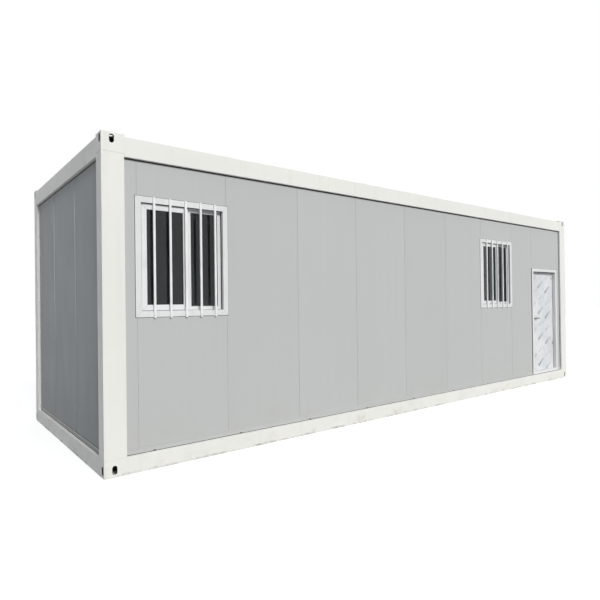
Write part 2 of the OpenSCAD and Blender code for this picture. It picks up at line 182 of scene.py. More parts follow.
def steel_paint(name, colour, grime):
    """Gloss-painted steel: faint mottling, rain streaks, splashes of earth near the ground."""
    s = Shade(name, Specular_IOR_Level=0.2)
    cloud = s.noise(0.8, 4.0)
    run = s.noise(11.0, 3.0, stretch=(1.0, 1.0, 0.05))
    fleck = s.noise(26.0, 5.0, 0.7)
    tint = s.mix(s.ramp(cloud, 0.3, 0.7), shaded(colour, 0.965), colour)
    tint = s.mix(s.times(s.ramp(run, 0.52, 0.78), 0.08), tint, DUST)
    near_ground = s.ramp(s.z, 0.2, 0.0)
    splash = s.ramp(s.noise(5.5, 5.0, 0.65, stretch=(1.0, 1.0, 1.6)), 0.5, 0.76)
    tint = s.mix(s.times(near_ground, splash, grime, 0.3), tint, EARTH)
    patch = s.ramp(s.noise(3.1, 5.0, 0.7), 0.46, 0.62)
    foot = s.times(s.ramp(s.z, 0.035, 0.002), patch, grime)
    tint = s.mix(s.times(foot, 0.6), tint, SOOT)
    tint = s.mix(s.times(s.ramp(fleck, 0.72, 0.76), near_ground, grime), tint, RUST)
    s.set("Base Color", tint)
    s.set("Roughness", s.ramp(s.noise(7.0, 4.0), 0.3, 0.7, 0.3, 0.46))
    s.bump(s.noise(160.0, 2.0), 0.12, 0.3 * MM)
    return s.material


def steel_edge(name, colour):
    """The same paint on the folded edges, where it is thin, chipped and a little rusty."""
    s = Shade(name, Specular_IOR_Level=0.2)
    chip = s.noise(34.0, 5.0, 0.72)
    tint = s.mix(s.ramp(s.noise(2.0, 3.0), 0.35, 0.65), shaded(colour, 0.93), colour)
    tint = s.mix(s.times(s.ramp(chip, 0.6, 0.66), 0.5), tint, srgb(150, 146, 138))
    low = s.ramp(s.z, 0.3, 0.02, 0.15, 1.0)
    tint = s.mix(s.times(s.ramp(chip, 0.67, 0.72), low), tint, RUST)
    s.set("Base Color", tint)
    s.set("Roughness", s.ramp(chip, 0.45, 0.7, 0.34, 0.7))
    s.bump(chip, 0.2, 0.4 * MM)
    return s.material


def coated_sheet(name, colour, start, pitch, coordinate="x", gloss=0.1, foot_shade=0.0):
    """Colour-coated sheet, each length of pitch a tone of its own; foot_shade paints shade on its
    lower part, darker towards the bottom.
    """
    s = Shade(name, Specular_IOR_Level=gloss)
    along = s.x if coordinate == "x" else s.y
    tint = s.mix(s.per_module(along, start, pitch), shaded(colour, 0.985), shaded(colour, 1.015))
    cloud = s.ramp(s.noise(0.55, 3.0), 0.3, 0.7)
    tint = s.mix(s.times(cloud, 0.35), tint, shaded(colour, 0.95))
    roll = s.noise(13.0, 3.0, 0.6, stretch=(1.0, 1.0, 0.012))
    tint = s.mix(s.times(s.ramp(roll, 0.4, 0.75), 0.12), tint, shaded(colour, 0.93))
    line = s.ramp(s.noise(55.0, 2.0, stretch=(1.0, 1.0, 0.004)), 0.42, 0.62)
    tint = s.mix(s.times(line, 0.1), tint, shaded(colour, 0.9))
    rain = s.times(s.ramp(s.noise(18.0, 4.0, stretch=(1.0, 1.0, 0.06)), 0.55, 0.8), 0.12)
    tint = s.mix(rain, tint, DUST)
    low = s.times(s.ramp(s.z, 0.6, 0.18), s.ramp(s.noise(4.0, 4.0), 0.35, 0.75), 0.22)
    tint = s.mix(low, tint, DUST)
    # Painted shade: foot_shade darkens the sheet from 1.9 m down to 0.3 m
    tint = s.mix(s.times(s.ramp(s.z, 1.9, 0.3), foot_shade), tint, shaded(colour, 0.6))
    deep_x = s.math("LESS_THAN", s.math("ABSOLUTE", s.x), ROOM_REACH[0])
    deep_y = s.math("LESS_THAN", s.math("ABSOLUTE", s.y), ROOM_REACH[1])
    tint = s.mix(s.times(deep_x, deep_y), tint, ROOM_WHITE)
    s.set("Base Color", tint)
    s.set("Roughness", s.ramp(s.noise(5.0, 4.0, stretch=(1.0, 1.0, 0.3)), 0.3, 0.7, 0.3, 0.45))
    s.bump(s.math("ADD", s.times(roll, 6.0), s.noise(240.0, 2.0)), 0.1, 0.25 * MM)
    return s.material


def moulded(name, colour, rough=0.34, grime=0.3):
    """Extruded or moulded plastic with dust in its rests."""
    s = Shade(name)
    cloud = s.noise(3.0, 4.0)
    tint = s.mix(s.ramp(cloud, 0.3, 0.7), shaded(colour, 0.955), colour)
    dust = s.times(s.ramp(s.noise(24.0, 5.0, 0.65, stretch=(1.0, 1.0, 0.25)), 0.5, 0.8), grime)
    tint = s.mix(dust, tint, DUST)
    s.set("Base Color", tint)
    s.set("Roughness", s.ramp(cloud, 0.3, 0.7, rough - 0.06, rough + 0.08))
    s.bump(s.noise(300.0, 2.0), 0.08, 0.15 * MM)
    return s.material


def bar_enamel():
    s = Shade("bar_enamel")
    chip = s.noise(60.0, 4.0, 0.7)
    tint = s.mix(s.ramp(s.noise(4.0, 3.0), 0.3, 0.7), srgb(232, 233, 234), srgb(246, 246, 246))
    tint = s.mix(s.times(s.ramp(chip, 0.7, 0.76), 0.8), tint, srgb(120, 116, 110))
    s.set("Base Color", tint)
    s.set("Roughness", s.ramp(chip, 0.3, 0.7, 0.28, 0.48))
    s.bump(s.noise(180.0, 2.0), 0.12, 0.2 * MM)
    return s.material


def pane_glass():
    """Float glass with a film of dust that gathers at the foot of each pane; its dark grey tint is
    painted shade, so the panes read as dark as the dim room behind them.
    """
    s = Shade("pane_glass", IOR=1.45, Specular_IOR_Level=0.15)
    haze = s.ramp(s.noise(3.0, 5.0, 0.6, stretch=(1.0, 1.0, 0.5)), 0.45, 0.8)
    foot = s.ramp(s.z, 1.62, 1.48)
    film = s.math("ADD", s.times(haze, 0.05), s.times(foot, 0.06))
    # Painted shade: the glass's dark grey tint darkens what is seen through it
    s.set("Base Color", s.mix(film, srgb(116, 128, 131), srgb(116, 118, 112)))
    s.set("Roughness", s.ramp(s.noise(9.0, 4.0), 0.35, 0.75, 0.01, 0.05))
    s.set("Transmission Weight", s.math("SUBTRACT", 0.97, film))
    s.bump(s.noise(1.3, 2.0), 0.05, 0.5 * MM)
    return s.material


def galvanised():
    s = Shade("galvanised", Metallic=0.85)
    spangle = s.cells(55.0)
    s.set("Base Color", s.mix(s.ramp(spangle, 0.1, 0.7), srgb(176, 180, 182), srgb(206, 209, 210)))
    s.set("Roughness", s.ramp(spangle, 0.1, 0.7, 0.32, 0.52))
    s.bump(s.noise(90.0, 2.0), 0.1, 0.2 * MM)
    return s.material


def roof_coating():
    """Pale coated roof sheet, with washed dirt in streaks down the fall and along the seams."""
    s = Shade("roof_coating", Specular_IOR_Level=0.12)
    wash = s.noise(5.0, 4.0, 0.6, stretch=(1.0, 0.12, 1.0))
    tint = s.mix(s.ramp(wash, 0.3, 0.7), srgb(186, 189, 188), srgb(202, 204, 202))
    film = s.ramp(s.noise(0.9, 3.0), 0.3, 0.7)
    tint = s.mix(s.times(film, 0.4), tint, srgb(180, 181, 176))
    streak = s.ramp(s.noise(16.0, 4.0, 0.65, stretch=(1.0, 0.05, 1.0)), 0.56, 0.8)
    tint = s.mix(s.times(streak, 0.35), tint, srgb(150, 146, 136))
    eaves = s.ramp(s.math("ABSOLUTE", s.y), 1.1, 1.4)
    tint = s.mix(s.times(eaves, s.ramp(wash, 0.35, 0.75), 0.35), tint, srgb(146, 140, 128))
    s.set("Base Color", tint)
    s.set("Roughness", s.ramp(wash, 0.3, 0.7, 0.5, 0.7))
    s.bump(s.noise(40.0, 3.0), 0.15, 0.5 * MM)
    return s.material


def vinyl_floor():
    s = Shade("vinyl_floor")
    grain = s.noise(70.0, 5.0, 0.7, stretch=(0.08, 1.0, 1.0))
    tint = s.mix(s.ramp(grain, 0.35, 0.65), srgb(112, 108, 102), srgb(146, 141, 134))
    board = s.per_module(s.y, 0.0, 0.18)
    tint = s.mix(s.times(board, 0.35), tint, srgb(98, 92, 84))
    tint = s.mix(s.times(s.ramp(s.noise(2.2, 4.0), 0.5, 0.8), 0.4), tint, DUST)
    s.set("Base Color", tint)
    s.set("Roughness", s.ramp(grain, 0.3, 0.7, 0.42, 0.62))
    s.bump(grain, 0.15, 0.4 * MM)
    return s.material


def rubber():
    s = Shade("rubber_black")
    bloom = s.noise(20.0, 4.0)
    s.set("Base Color", s.mix(s.ramp(bloom, 0.35, 0.75), srgb(40, 41, 40), srgb(66, 67, 64)))
    s.set("Roughness", s.ramp(bloom, 0.3, 0.7, 0.6, 0.8))
    s.bump(s.noise(200.0, 2.0), 0.2, 0.3 * MM)
    return s.material


def sealant(name, dark, light):
    s = Shade(name)
    smear = s.noise(30.0, 4.0, stretch=(1.0, 1.0, 0.3))
    s.set("Base Color", s.mix(s.ramp(smear, 0.3, 0.7), dark, light))
    s.set("Roughness", s.ramp(smear, 0.3, 0.7, 0.4, 0.6))
    s.bump(smear, 0.5, 0.5 * MM)
    return s.material


def brushed_metal(name, colour, rough, stretch):
    s = Shade(name, Metallic=1.0)
    brush = s.noise(320.0, 3.0, 0.6, stretch=stretch)
    cloud = s.noise(9.0, 4.0)
    s.set("Base Color", s.mix(s.ramp(cloud, 0.3, 0.7), shaded(colour, 0.9), colour))
    s.set("Roughness", s.ramp(brush, 0.3, 0.7, rough - 0.06, rough + 0.1))
    s.bump(brush, 0.1, 0.05 * MM)
    return s.material


def door_film(origin, width, edge_marks):
    """Protective film: pale, wrinkled, with plain slanted dashes and two scuffs by its edge."""
    s = Shade("door_film", Specular_IOR_Level=0.3)
    slope = math.radians(33)
    column_w, row_h, column_drop = 0.27, 0.49, 0.095
    x = s.math("SUBTRACT", s.x, origin[0])
    z = s.math("SUBTRACT", s.z, origin[1])

    def dashes(offset, half_length, half_width, teeth):
        """Slanted dashes in staggered columns, broken up by teeth across each."""
        along_x = s.math("DIVIDE", s.math("ADD", x, offset[0]), column_w)
        column = s.math("FLOOR", along_x)
        rise = s.math("ADD", s.math("ADD", z, offset[1]), s.times(column, column_drop))
        along_z = s.math("DIVIDE", rise, row_h)
        u = s.times(s.math("SUBTRACT", s.math("FRACT", along_x), 0.5), column_w)
        v = s.times(s.math("SUBTRACT", s.math("FRACT", along_z), 0.5), row_h)
        a = s.math("ADD", s.times(u, math.cos(slope)), s.times(v, math.sin(slope)))
        b = s.math("SUBTRACT", s.times(v, math.cos(slope)), s.times(u, math.sin(slope)))
        length = s.ramp(s.math("ABSOLUTE", a), half_length, half_length - 0.02)
        width = s.ramp(s.math("ABSOLUTE", b), half_width, half_width - 0.006)
        cut = s.ramp(s.math("FRACT", s.math("DIVIDE", a, teeth)), 0.3, 0.5)
        cell = s.node("ShaderNodeTexWhiteNoise", noise_dimensions="2D")
        pair = s.node("ShaderNodeCombineXYZ")
        s.put(pair.inputs[0], column)
        s.put(pair.inputs[1], s.math("FLOOR", along_z))
        s.put(cell.inputs["Vector"], pair.outputs[0])
        fade = s.ramp(a, half_length, -half_length, 0.35, 1.0)
        return s.times(length, width, cut, fade, s.ramp(cell.outputs["Value"], 0.0, 1.0, 0.6, 1.0))

    bold = dashes((0.03, 0.0), 0.13, 0.029, 0.03)
    faint = dashes((0.03, 0.245), 0.1, 0.018, 0.024)
    small = dashes((0.165, 0.12), 0.07, 0.014, 0.02)
    speckle = s.ramp(s.noise(38.0, 3.0, 0.7, stretch=(1.0, 1.0, 0.5)), 0.55, 0.7)
    ink = s.math("MAXIMUM", s.times(bold, 1.0), s.times(faint, 0.6))
    ink = s.math("MAXIMUM", ink, s.math("MAXIMUM", s.times(small, 0.45), s.times(speckle, 0.16)))
    ink = s.times(ink, s.ramp(x, width - 0.03, width - 0.06))
    for mark_x, mark_z in edge_marks:
        far = s.math("POWER", s.math("SUBTRACT", s.x, mark_x), 2.0)
        up = s.math("POWER", s.times(s.math("SUBTRACT", s.z, mark_z), 0.6), 2.0)
        spot = s.ramp(s.math("SQRT", s.math("ADD", far, up)), 0.022, 0.012)
        ink = s.math("MAXIMUM", ink, s.times(spot, 0.8))
    paper = s.mix(s.ramp(s.noise(2.2, 3.0), 0.35, 0.65), srgb(214, 218, 222), srgb(228, 230, 233))
    s.set("Base Color", s.mix(ink, paper, srgb(72, 82, 92)))
    crease = s.noise(7.0, 4.0, 0.6, stretch=(1.0, 1.0, 0.4), warp=0.8)
    s.set("Roughness", s.ramp(crease, 0.3, 0.7, 0.25, 0.42))
    s.bump(crease, 0.45, 2.0 * MM)
    return s.material


paint = steel_paint("frame_gloss", OFF_WHITE, 1.0)
paint_edge = steel_edge("frame_gloss_edge", OFF_WHITE)
wall_long = coated_sheet("wall_sheet_long", WALL_GREY, MODULE_START, MODULE)
# The end walls' sheet carries painted shade: the darker, bluer grey and a lower part darkened by
# 0.3
wall_end_shaded = coated_sheet("wall_sheet_end", SHADED_END_GREY, END_MODULE_START, MODULE, "y", 0.012, 0.3)
# The trim's grey is the wall grey made 3% darker: painted shade of the band at the walls' foot
trim_sheet = coated_sheet("trim_sheet", shaded(WALL_GREY, 0.97), MODULE_START, TRIM_LENGTH)
pvc = moulded("window_pvc", PVC_WHITE)
pvc_sash = moulded("sash_pvc", srgb(235, 236, 238), 0.3)
ceiling_white = moulded("ceiling_white", srgb(236, 237, 234), 0.5, 0.1)
door_white = moulded("door_enamel", srgb(238, 239, 240), 0.32, 0.15)
bars = bar_enamel()
glass = pane_glass()
zinc = galvanised()
roof_skin = roof_coating()
floor_skin = vinyl_floor()
rubber_black = rubber()
# A dark sealant, used only where it paints shade: the line round the window flanges and at the end
# walls' foot
sealant_dark = sealant("sealant_dark", srgb(66, 69, 70), srgb(92, 95, 95))
sealant_pale = sealant("sealant_pale", srgb(214, 216, 215), srgb(230, 231, 229))
sealant_grey = sealant("sealant_grey", srgb(178, 181, 182), srgb(198, 200, 200))
joint_shade = sealant("joint_shade", srgb(140, 143, 145), srgb(168, 170, 172))
steel_bright = brushed_metal("steel_bright", srgb(214, 215, 216), 0.22, (0.1, 1.0, 1.0))
# A darker copy of the brushed steel for the handle: painted shade, as the lever reads dark with
# its underside shaded
steel_dark = brushed_metal("steel_dark", srgb(112, 113, 115), 0.3, (0.1, 1.0, 1.0))
alloy = brushed_metal("threshold_alloy", srgb(176, 178, 178), 0.38, (0.04, 1.0, 1.0))
film_lo, film_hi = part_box("door_leaf")
film_marks = [(film_hi.x - 0.05, film_hi.z - 0.12), (film_hi.x - 0.035, 0.7)]
film = door_film((film_lo.x, film_lo.z), film_hi.x - film_lo.x, film_marks)


# ---- CAD nodes: materials and worked edges ----


def round_edges(obj, width, segments=2):
    bevel = obj.modifiers.new("edge", "BEVEL")
    bevel.width = width
    bevel.segments = segments
    bevel.limit_method = "ANGLE"
    bevel.harden_normals = True
    return bevel


def dress(name, material, edge=0.0, edge_material=None, segments=2):
    """Gives a CAD node its material and rounds its edges by edge metres."""
    obj = nodes[name]
    obj.data.materials.clear()
    obj.data.materials.append(material)
    if not edge:
        return
    weld = obj.modifiers.new("weld", "WELD")
    weld.merge_threshold = 0.01 * MM
    bevel = round_edges(obj, edge, segments)
    bevel.angle_limit = math.radians(40)
    if edge_material:
        obj.data.materials.append(edge_material)
        bevel.material = 1


for name in ("bottom_corner_fittings", "top_corner_fittings"):
    dress(name, paint, 3.0 * MM, paint_edge)
for corner in ("front_left", "front_right", "back_left", "back_right"):
    dress("corner_post_" + corner, paint, 1.8 * MM, paint_edge)
for side in ("front", "back", "left", "right"):
    dress("floor_beam_" + side, paint, 1.8 * MM, paint_edge)
    dress("roof_beam_" + side, paint, 1.8 * MM, paint_edge)
dress("floor_joists", zinc, 1.5 * MM)
dress("floor_deck", floor_skin, 0.5 * MM)
dress("roof_purlins", zinc, 1.5 * MM)
dress("roof_sheet", roof_skin, 1.0 * MM)
dress("ceiling_panel", ceiling_white, 1.0 * MM)
for name in (
    "front_wall_panels",
    "left_window_infill",
    "right_window_infill",
    "door_header_panel",
    "door_side_panel",
    "back_wall_panels",
):
    dress(name, wall_long, 2.5 * MM)
for name in ("left_wall_panels", "right_wall_panels"):
    dress(name, wall_end_shaded, 2.5 * MM)
for name in ("front_base_trim", "back_base_trim", "end_base_trims"):
    dress(name, trim_sheet, 0.8 * MM)
for side in ("left", "right"):
    dress(side + "_window_frame", pvc, 1.5 * MM)
    dress(side + "_window_sash", pvc_sash, 2.5 * MM)
    dress(side + "_window_glass", glass)
    dress(side + "_window_bars", bars, 2.0 * MM)
dress("door_frame", pvc, 1.5 * MM)
dress("door_threshold", pvc, 1.5 * MM)
dress("door_leaf", door_white, 1.5 * MM)
dress("door_hinge_pins", steel_bright, 0.8 * MM)
dress("door_hinge_knuckles", door_white, 0.8 * MM)
dress("door_lock_plates", steel_bright, 0.8 * MM)
dress("door_handle", steel_dark, 2.5 * MM, segments=3)


# ---- Building detail pieces ----


def solids(*names):
    """(lowest, highest) corners of each separate solid in these CAD nodes."""
    found = []
    for name in names:
        mesh = nodes[name].data
        key = {}
        ids = [
            key.setdefault(tuple(round(c, 5) for c in v.co), len(key)) for v in mesh.vertices
        ]
        root = list(range(len(key)))

        def top(i):
            while root[i] != i:
                root[i] = root[root[i]]
                i = root[i]
            return i

        for face in mesh.polygons:
            first = top(ids[face.vertices[0]])
            for v in face.vertices[1:]:
                root[top(ids[v])] = first
        groups = {}
        for place, i in key.items():
            groups.setdefault(top(i), []).append(place)
        for places in groups.values():
            found.append(
                (
                    Vector(min(p[a] for p in places) for a in range(3)),
                    Vector(max(p[a] for p in places) for a in range(3)),
                )
            )
    return sorted(found, key=lambda b: tuple(b[0]))


def add_box(bm, p, q):
    """A box between two opposite corners."""
    size = [abs(b - a) for a, b in zip(p, q)]
    made = bmesh.ops.create_cube(bm, size=1.0)
    place = Matrix.Translation((Vector(p) + Vector(q)) / 2) @ Matrix.Diagonal((*size, 1.0))
    bmesh.ops.transform(bm, matrix=place, verts=made["verts"])


def skin(bm, rings, closed=False):
    """Faces between neighbouring rings of vertices; closed joins the last ring to the first."""
    for a, b in zip(rings, rings[1:] + rings[:1] if closed else rings[1:]):
        for k in range(len(a)):
            j = (k + 1) % len(a)
            bm.faces.new((a[k], a[j], b[j], b[k]))


def loft(bm, rings):
    """A solid between the first and the last ring."""
    skin(bm, rings)
    bm.faces.new(rings[0][::-1])
    bm.faces.new(rings[-1])


def circle(radius, sides):
    turns = [2 * math.pi * k / sides for k in range(sides)]
    return [(radius * math.cos(turn), radius * math.sin(turn)) for turn in turns]


def add_prism(bm, outline, place, length):
    """Extrudes a closed 2-D outline by length along the third axis of the matrix place."""
    ends = (0.0, length)
    loft(bm, [[bm.verts.new(place @ Vector((u, v, w))) for u, v in outline] for w in ends])


def add_tube(bm, points, radius, sides=8):
    """A closed tube along points."""
    points = [Vector(p) for p in points]
    rings = []
    for i, point in enumerate(points):
        ahead = points[min(i + 1, len(points) - 1)] - points[max(i - 1, 0)]
        ahead.normalize()
        side = ahead.cross(Vector((0.0, 0.0, 1.0)))
        if side.length < 0.2:
            side = ahead.cross(Vector((1.0, 0.0, 0.0)))
        side.normalize()
        up = side.cross(ahead)
        rings.append([bm.verts.new(point + side * u + up * v) for u, v in circle(radius, sides)])
    loft(bm, rings)


def add_screw(bm, centre, outward, radius, height):
    """A domed screw head with a hollow in the middle, standing on a face along outward."""
    turn = Vector((0.0, 0.0, 1.0)).rotation_difference(Vector(outward)).to_matrix().to_4x4()
    place = Matrix.Translation(Vector(centre)) @ turn
    rings = []
    for r, h in ((radius, 0.0), (radius, 0.35), (radius * 0.8, 0.8), (radius * 0.42, 1.0)):
        rim = [place @ Vector((u, v, h * height)) for u, v in circle(r, 12)]
        rings.append([bm.verts.new(point) for point in rim])
    skin(bm, rings)
    bm.faces.new(rings[0][::-1])
    pit = bm.verts.new(place @ Vector((0.0, 0.0, height * 0.45)))
    rim = rings[-1]
    for a, b in zip(rim, rim[1:] + rim[:1]):
        bm.faces.new((a, b, pit))


def piece(name, bm, material, body="cabin", edge=0.0, smooth=False):
    """Turns a bmesh into a piece of the object that rides on a body."""
    bmesh.ops.recalc_face_normals(bm, faces=bm.faces)
    mesh = bpy.data.meshes.new(name)
    bm.to_mesh(mesh)
    bm.free()
    mesh.materials.append(material)
    if smooth:
        mesh.polygons.foreach_set("use_smooth", [True] * len(mesh.polygons))
    obj = bpy.data.objects.new(name, mesh)
    bpy.context.scene.collection.objects.link(obj)
    if edge:
        round_edges(obj, edge)
    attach(obj, body)


# Faces of the shell, read from the frame
front_lo, front_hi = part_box("front_wall_panels")
back_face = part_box("back_wall_panels")[1].y
left_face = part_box("left_wall_panels")[0].x
right_lo, right_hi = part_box("right_wall_panels")
post_lo, post_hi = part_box("corner_post_front_left")
far_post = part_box("corner_post_back_right")[0]
wall_face = front_lo.y
wall_z0, wall_z1 = front_lo.z, front_hi.z
thickness = front_hi.y - front_lo.y
inner_x = (post_hi.x, far_post.x)
inner_y = (post_hi.y, far_post.y)

# Each wall: the axis it faces, its outer face, outward sign, and its span between the posts
WALLS = {
    "front": (1, wall_face, -1, inner_x),
    "back": (1, back_face, 1, inner_x),
    "left": (0, left_face, -1, inner_y),
    "right": (0, right_hi.x, 1, inner_y),
}
WALL_SOLIDS = {
    "front": solids(
        "front_wall_panels",
        "left_window_infill",
        "right_window_infill",
        "door_header_panel",
        "door_side_panel",
    ),
    "back": solids("back_wall_panels"),
    "left": solids("left_wall_panels"),
    "right": solids("right_wall_panels"),
}


def wall_point(wall, along, depth, z):
    """A point on a wall: along it, depth metres in from its outer face."""
    axis, outer, sign, _ = WALLS[wall]
    across = outer - sign * depth
    return Vector((along, across, z)) if axis == 1 else Vector((across, along, z))


def wall_box(bm, wall, span, depths, heights):
    """A box on a wall, between two places along it, two depths and two heights."""
    add_box(bm, *(wall_point(wall, a, d, z) for a, d, z in zip(span, depths, heights)))


def wall_joints(wall):
    """(start, end, lowest z, highest z) of each gap between neighbouring panels."""
    axis = 0 if WALLS[wall][0] == 1 else 1
    found = []
    for a in WALL_SOLIDS[wall]:
        for b in WALL_SOLIDS[wall]:
            gap = b[0][axis] - a[1][axis]
            z0, z1 = max(a[0].z, b[0].z), min(a[1].z, b[1].z)
            if 0.5 * MM < gap < 8 * MM and z1 - z0 > 0.05:
                found.append((a[1][axis], b[0][axis], z0, z1))
    return found


# Tongues close the panel joints a little behind both faces
for wall in WALLS:
    bm = bmesh.new()
    for a, b, z0, z1 in wall_joints(wall):
        wall_box(bm, wall, (a, b), (4 * MM, thickness - 4 * MM), (z0, z1))
    material = wall_long if wall in ("front", "back") else wall_end_shaded
    piece(wall + "_panel_tongues", bm, material)

# The walls' seals start over the trim outside or the deck inside, and end under the foam
OVER_TRIM, OVER_DECK, UNDER_FOAM = 52 * MM, 19 * MM, 14 * MM

# A bead of sealant stands in each joint of the end walls
bm = bmesh.new()
for wall in ("left", "right"):
    for a, b, z0, z1 in wall_joints(wall):
        heights = (z0 + OVER_TRIM, z1 - UNDER_FOAM)
        ends = [wall_point(wall, (a + b) / 2, 0.5 * MM, z) for z in heights]
        add_tube(bm, ends, 4.0 * MM, sides=10)
piece("end_joint_beads", bm, sealant_grey, smooth=True)

# Dark foam strip between the panels' top and the roof beams: painted shade of the recess under the
# beams
roof_lo, roof_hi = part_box("roof_beam_front")
foam_z = (wall_z1 - 13 * MM, roof_lo.z - 0.2 * MM)
bm = bmesh.new()
for wall, (*_, span) in WALLS.items():
    wall_box(bm, wall, span, (-2 * MM, 12 * MM), foam_z)
piece("roof_beam_seals", bm, rubber_black, edge=1.0 * MM)

# Gaskets in the corners between the posts and the walls outside, and sealant inside. The long
# walls' black gaskets paint the shade in the corners by the posts; the end walls' pale ones paint
# the light on the posts' lit returns.
for name, walls, material, depth, out, leg in (
    ("corner_gaskets", ("front", "back"), rubber_black, 0.0, 1, 7 * MM),
    ("end_corner_gaskets", ("left", "right"), sealant_pale, 0.0, 1, 7 * MM),
    ("corner_sealant", tuple(WALLS), sealant_grey, thickness, -1, 5 * MM),
):
    bm = bmesh.new()
    section = [(0.0, 0.0), (leg, 0.0), (leg * 0.35, leg * 0.35), (0.0, leg)]
    z0 = wall_z0 + (OVER_TRIM if out == 1 else OVER_DECK)
    for wall in walls:
        *_, span = WALLS[wall]
        for end, way in zip(span, (1, -1)):
            rings = []
            for z in (z0, wall_z1 - UNDER_FOAM):
                ring = [wall_point(wall, end + way * u, depth - out * v, z) for u, v in section]
                rings.append([bm.verts.new(point) for point in ring])
            loft(bm, rings)
    piece(name, bm, material)


def grown(rect, by):
    x0, x1, z0, z1 = rect
    return (x0 - by, x1 + by, z0 - by, z1 + by)


def face_rect(name):
    """(x0, x1, z0, z1) of a node on the long wall."""
    lo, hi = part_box(name)
    return (lo.x, hi.x, lo.z, hi.z)


def add_ring(bm, outer, inner, y_outer, y_inner, y_back):
    """A mitred ring on the long wall; its front may slope from the outer to the inner edge."""
    loops = []
    for rect, y in ((outer, y_outer), (inner, y_inner), (inner, y_back), (outer, y_back)):
        x0, x1, z0, z1 = rect
        corners = ((x0, z0), (x1, z0), (x1, z1), (x0, z1))
        loops.append([bm.verts.new((x, y, z)) for x, z in corners])
    skin(bm, loops, closed=True)


def add_mitre(bm, corner, way, reach, y):
    """The fine line of a mitred corner, from the corner inwards, on a face towards the front."""
    half = 0.5 * MM
    ends = ((0.0, -half), (reach, -half), (reach, half), (0.0, half))
    line = [(u - v, u + v) for u, v in ends]
    outline = [(corner[0] + way[0] * u, corner[1] + way[1] * v) for u, v in line]
    turn = Matrix(((1, 0, 0), (0, 0, 1), (0, 1, 0))).to_4x4()
    add_prism(bm, outline, Matrix.Translation((0.0, y - 0.15 * MM, 0.0)) @ turn, 0.2 * MM)


# Dark lining inside the corner fittings, on the three plates that have no slot: painted shade of
# their hollow inside
PLATE = 12 * MM
shade_lining = moulded("dark_primer", srgb(44, 41, 38), 0.6, 0.1)
bm = bmesh.new()
for lo, hi in solids("bottom_corner_fittings", "top_corner_fittings"):
    plates = Vector((PLATE, PLATE, PLATE))
    inward = (lo.x < 0, lo.y < 0, lo.z < 1)
    for axis in range(3):
        p, q = lo + plates, hi - plates
        if inward[axis]:
            p[axis] = q[axis] - 1.0 * MM
        else:
            q[axis] = p[axis] + 1.0 * MM
        add_box(bm, p, q)
piece("fitting_primer", bm, shade_lining)

# Dark edges inside the lifting slots of the long and the short faces: painted shade of the slots'
# insides and rounded rims
SLOT_FROM_SIDE = 45 * MM
slot_places = []
for mount in frame["record"]["mounts"]:
    if mount["name"].endswith("_slots") and mount["name"] != "stacking_slots":
        x, y, middle = mount["pos_m"]
        half = mount["dims"]["spacing_y_mm"] * MM / 2
        radius = mount["dims"]["hole_r_mm"] * MM
        straight = mount["dims"]["slot_length_mm"] * MM - 2 * radius
        for z in (middle - half, middle + half):
            slot_places.append((Vector((x, y, z)), Vector((1, 0, 0)), Vector((0, -y, 0))))
            side_x = math.copysign(abs(post_lo.x), x)
            side_y = math.copysign(abs(post_lo.y) - SLOT_FROM_SIDE, y)
            place = Vector((side_x, side_y, z))
            slot_places.append((place, Vector((0, 1, 0)), Vector((-x, 0, 0))))
# The lining's profile: how far beyond the slot's edge and behind the face, in millimetres
SLOT_LINING = ((2.2, 0.25), (0.7, 0.87), (-0.3, 3.0), (-0.5, 12.0), (0.5, 12.0))
SLOT_TURNS = [2 * math.pi * (k + 0.5) / 32 for k in range(32)]
bm = bmesh.new()
for centre, side, inward in slot_places:
    inward.normalize()
    loops = []
    for over, depth in SLOT_LINING:
        r = radius + over * MM
        loop = []
        for turn in SLOT_TURNS:
            rise = math.copysign(straight / 2, math.sin(turn)) + r * math.sin(turn)
            point = centre + side * (r * math.cos(turn)) + inward * (depth * MM)
            loop.append(bm.verts.new(point + Vector((0.0, 0.0, rise))))
        loops.append(loop)
    skin(bm, loops, closed=True)
piece("slot_edges", bm, shade_lining)

# Painted welds along the fittings' joints with the beams, and plates that close the gaps
# between the posts and the beams' ends
beam_lo, beam_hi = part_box("floor_beam_front")
side_beam_y = abs(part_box("floor_beam_left")[0].y)
fitting_z = (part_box("bottom_corner_fittings")[1].z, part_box("top_corner_fittings")[0].z)
WELD = 3.0 * MM
weld_deep = WELD + 0.6 * MM
end_x, end_y = abs(post_lo.x), abs(post_lo.y)
near_x, near_y, beam_x = abs(post_hi.x), abs(post_hi.y), abs(beam_lo.x)
bm = bmesh.new()
for sx, sy in CORNERS:
    for z0, z1 in ((beam_lo.z, beam_hi.z), (roof_lo.z, roof_hi.z)):
        for x, y in ((beam_x, end_y - weld_deep), (end_x - weld_deep, side_beam_y)):
            x, y = sx * x, sy * y
            add_tube(bm, [(x, y, z0 + 3 * MM), (x, y, z1 - 3 * MM)], WELD)
    for z0, z1 in ((fitting_z[0], beam_hi.z), (roof_lo.z, fitting_z[1])):
        shallow, deep = sy * (end_y - 1 * MM), sy * (end_y - 60 * MM)
        add_box(bm, (sx * near_x, shallow, z0), (sx * beam_x, deep, z1))
        shallow, deep = sx * (end_x - 1 * MM), sx * (end_x - 60 * MM)
        add_box(bm, (shallow, sy * near_y, z0), (deep, sy * side_beam_y, z1))
piece("frame_welds", bm, paint)
